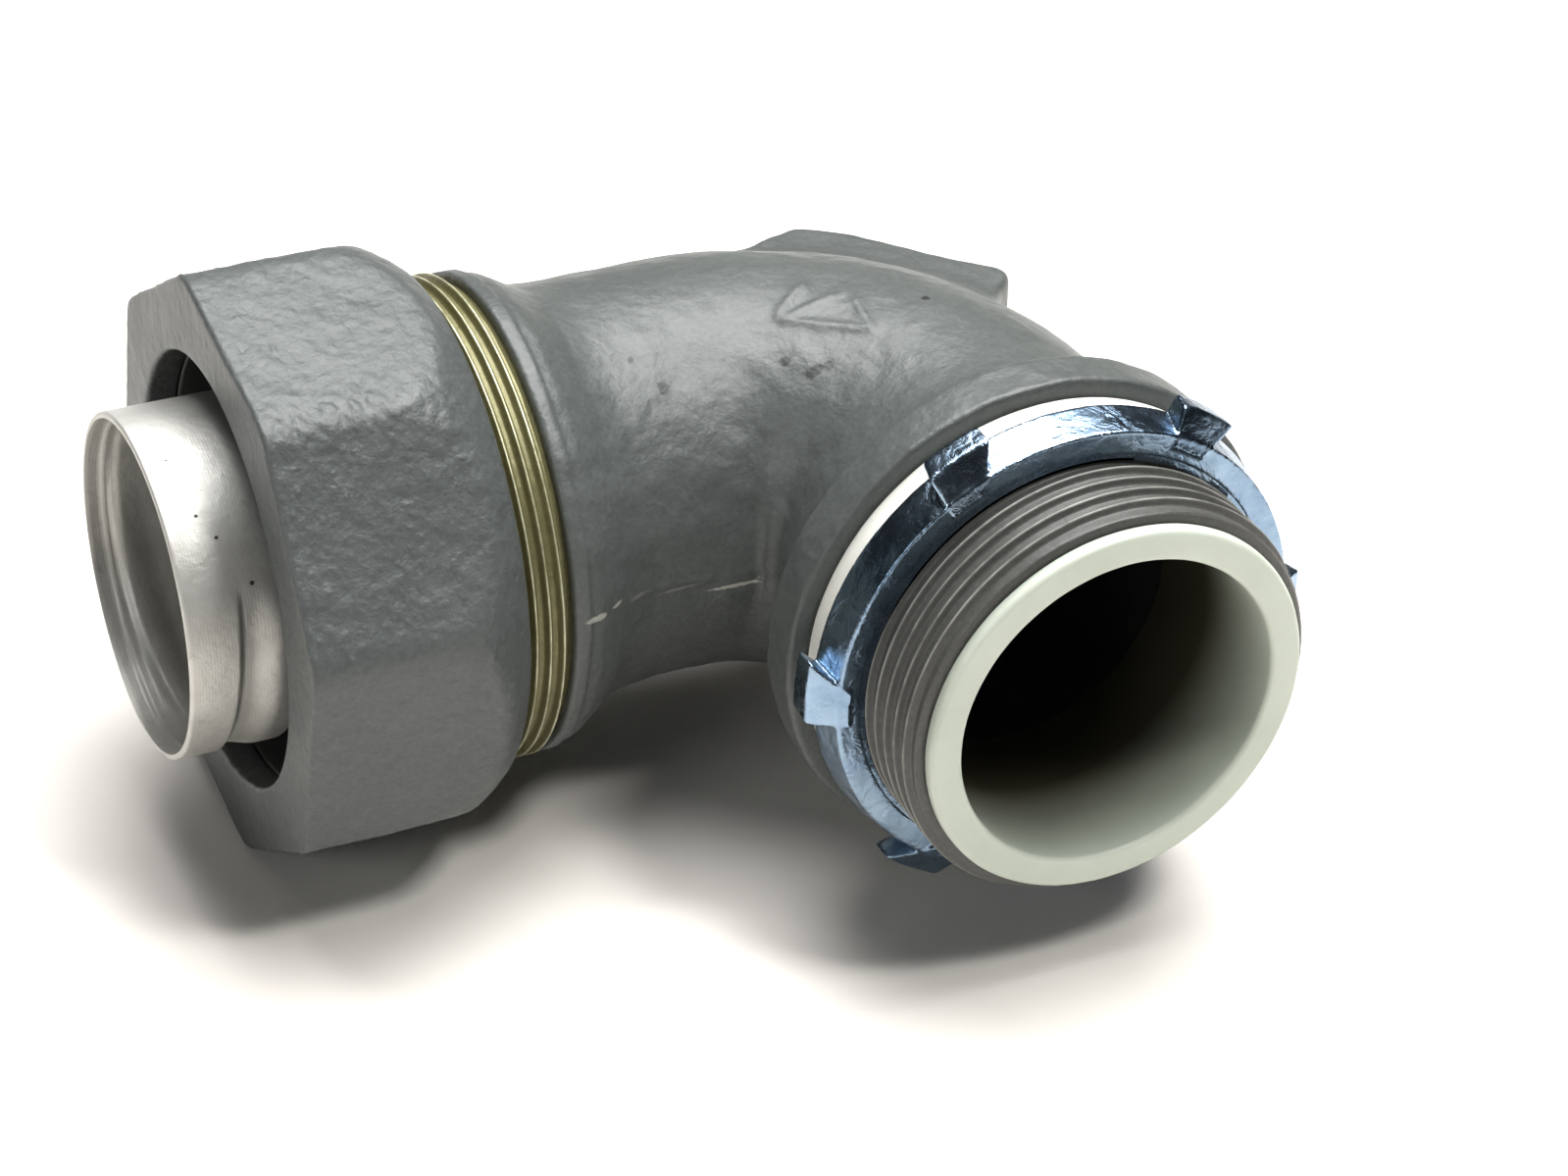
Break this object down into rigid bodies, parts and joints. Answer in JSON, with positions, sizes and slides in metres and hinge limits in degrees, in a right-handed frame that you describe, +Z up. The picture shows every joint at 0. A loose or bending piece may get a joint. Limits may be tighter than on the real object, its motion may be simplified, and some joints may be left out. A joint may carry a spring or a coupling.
{
  "type": "liquid-tight flexible conduit elbow connector",
  "caption": "Right-angle liquid-tight connector for flexible metal conduit: cast elbow, octagonal gland nut, ferrule, sealing rings, insulated throat and hub locknut.",
  "frame": {"origin": "centre of the hub's sealing face, on the hub axis", "axes": "-Y out of the hub along its thread; -X out of the gland; +Z up with the fitting lying on its side, both axes horizontal"},
  "size_m": [0.1187, 0.0955, 0.0674],
  "materials": {
    "grey_casting": "satin grey paint on cast iron, olive chromate on the gland thread",
    "grey_nut": "satin grey paint on rough cast iron",
    "nylon_ring": "natural nylon",
    "ferrule_aluminium": "bare satin aluminium",
    "bushing_plastic": "semi-gloss ivory insulator",
    "white_seal": "smooth white sealing ring",
    "zinc_steel": "bright blue-zinc plate"
  },
  "bodies": {
    "elbow": {"elbow_body": "grey_casting", "throat_bushing": "bushing_plastic"},
    "gland_travel": {"compression_ring": "nylon_ring"},
    "gland_nut": {"gland_nut": "grey_nut"},
    "ferrule": {"ferrule": "ferrule_aluminium"},
    "locknut_travel": {"hub_sealing_ring": "white_seal"},
    "locknut": {"locknut": "zinc_steel"}
  },
  "joints": [
    {"name": "gland_screw_travel", "type": "slide", "parent": "elbow", "child": "gland_travel", "axis": [-1, 0, 0], "range_m": [-0.0048, 0.0128]},
    {"name": "gland_nut_turn", "type": "hinge", "parent": "gland_travel", "child": "gland_nut", "pos_m": [-0.066, 0.0414, 0], "axis": [-1, 0, 0], "range_deg": [-1080, 2880]},
    {"name": "ferrule_play", "type": "slide", "parent": "elbow", "child": "ferrule", "axis": [-1, 0, 0], "range_m": [0, 0.0015]},
    {"name": "locknut_screw_travel", "type": "slide", "parent": "elbow", "child": "locknut_travel", "axis": [0, -1, 0], "range_m": [0, 0.0156]},
    {"name": "locknut_turn", "type": "hinge", "parent": "locknut_travel", "child": "locknut", "pos_m": [0, -0.006, 0], "axis": [0, -1, 0], "range_deg": [0, 2520]}
  ],
  "couplings": [
    {"joint": "gland_screw_travel", "follows": "gland_nut_turn", "m_per_rad": 0.00025266},
    {"joint": "locknut_screw_travel", "follows": "locknut_turn", "m_per_rad": 0.00035152}
  ]
}
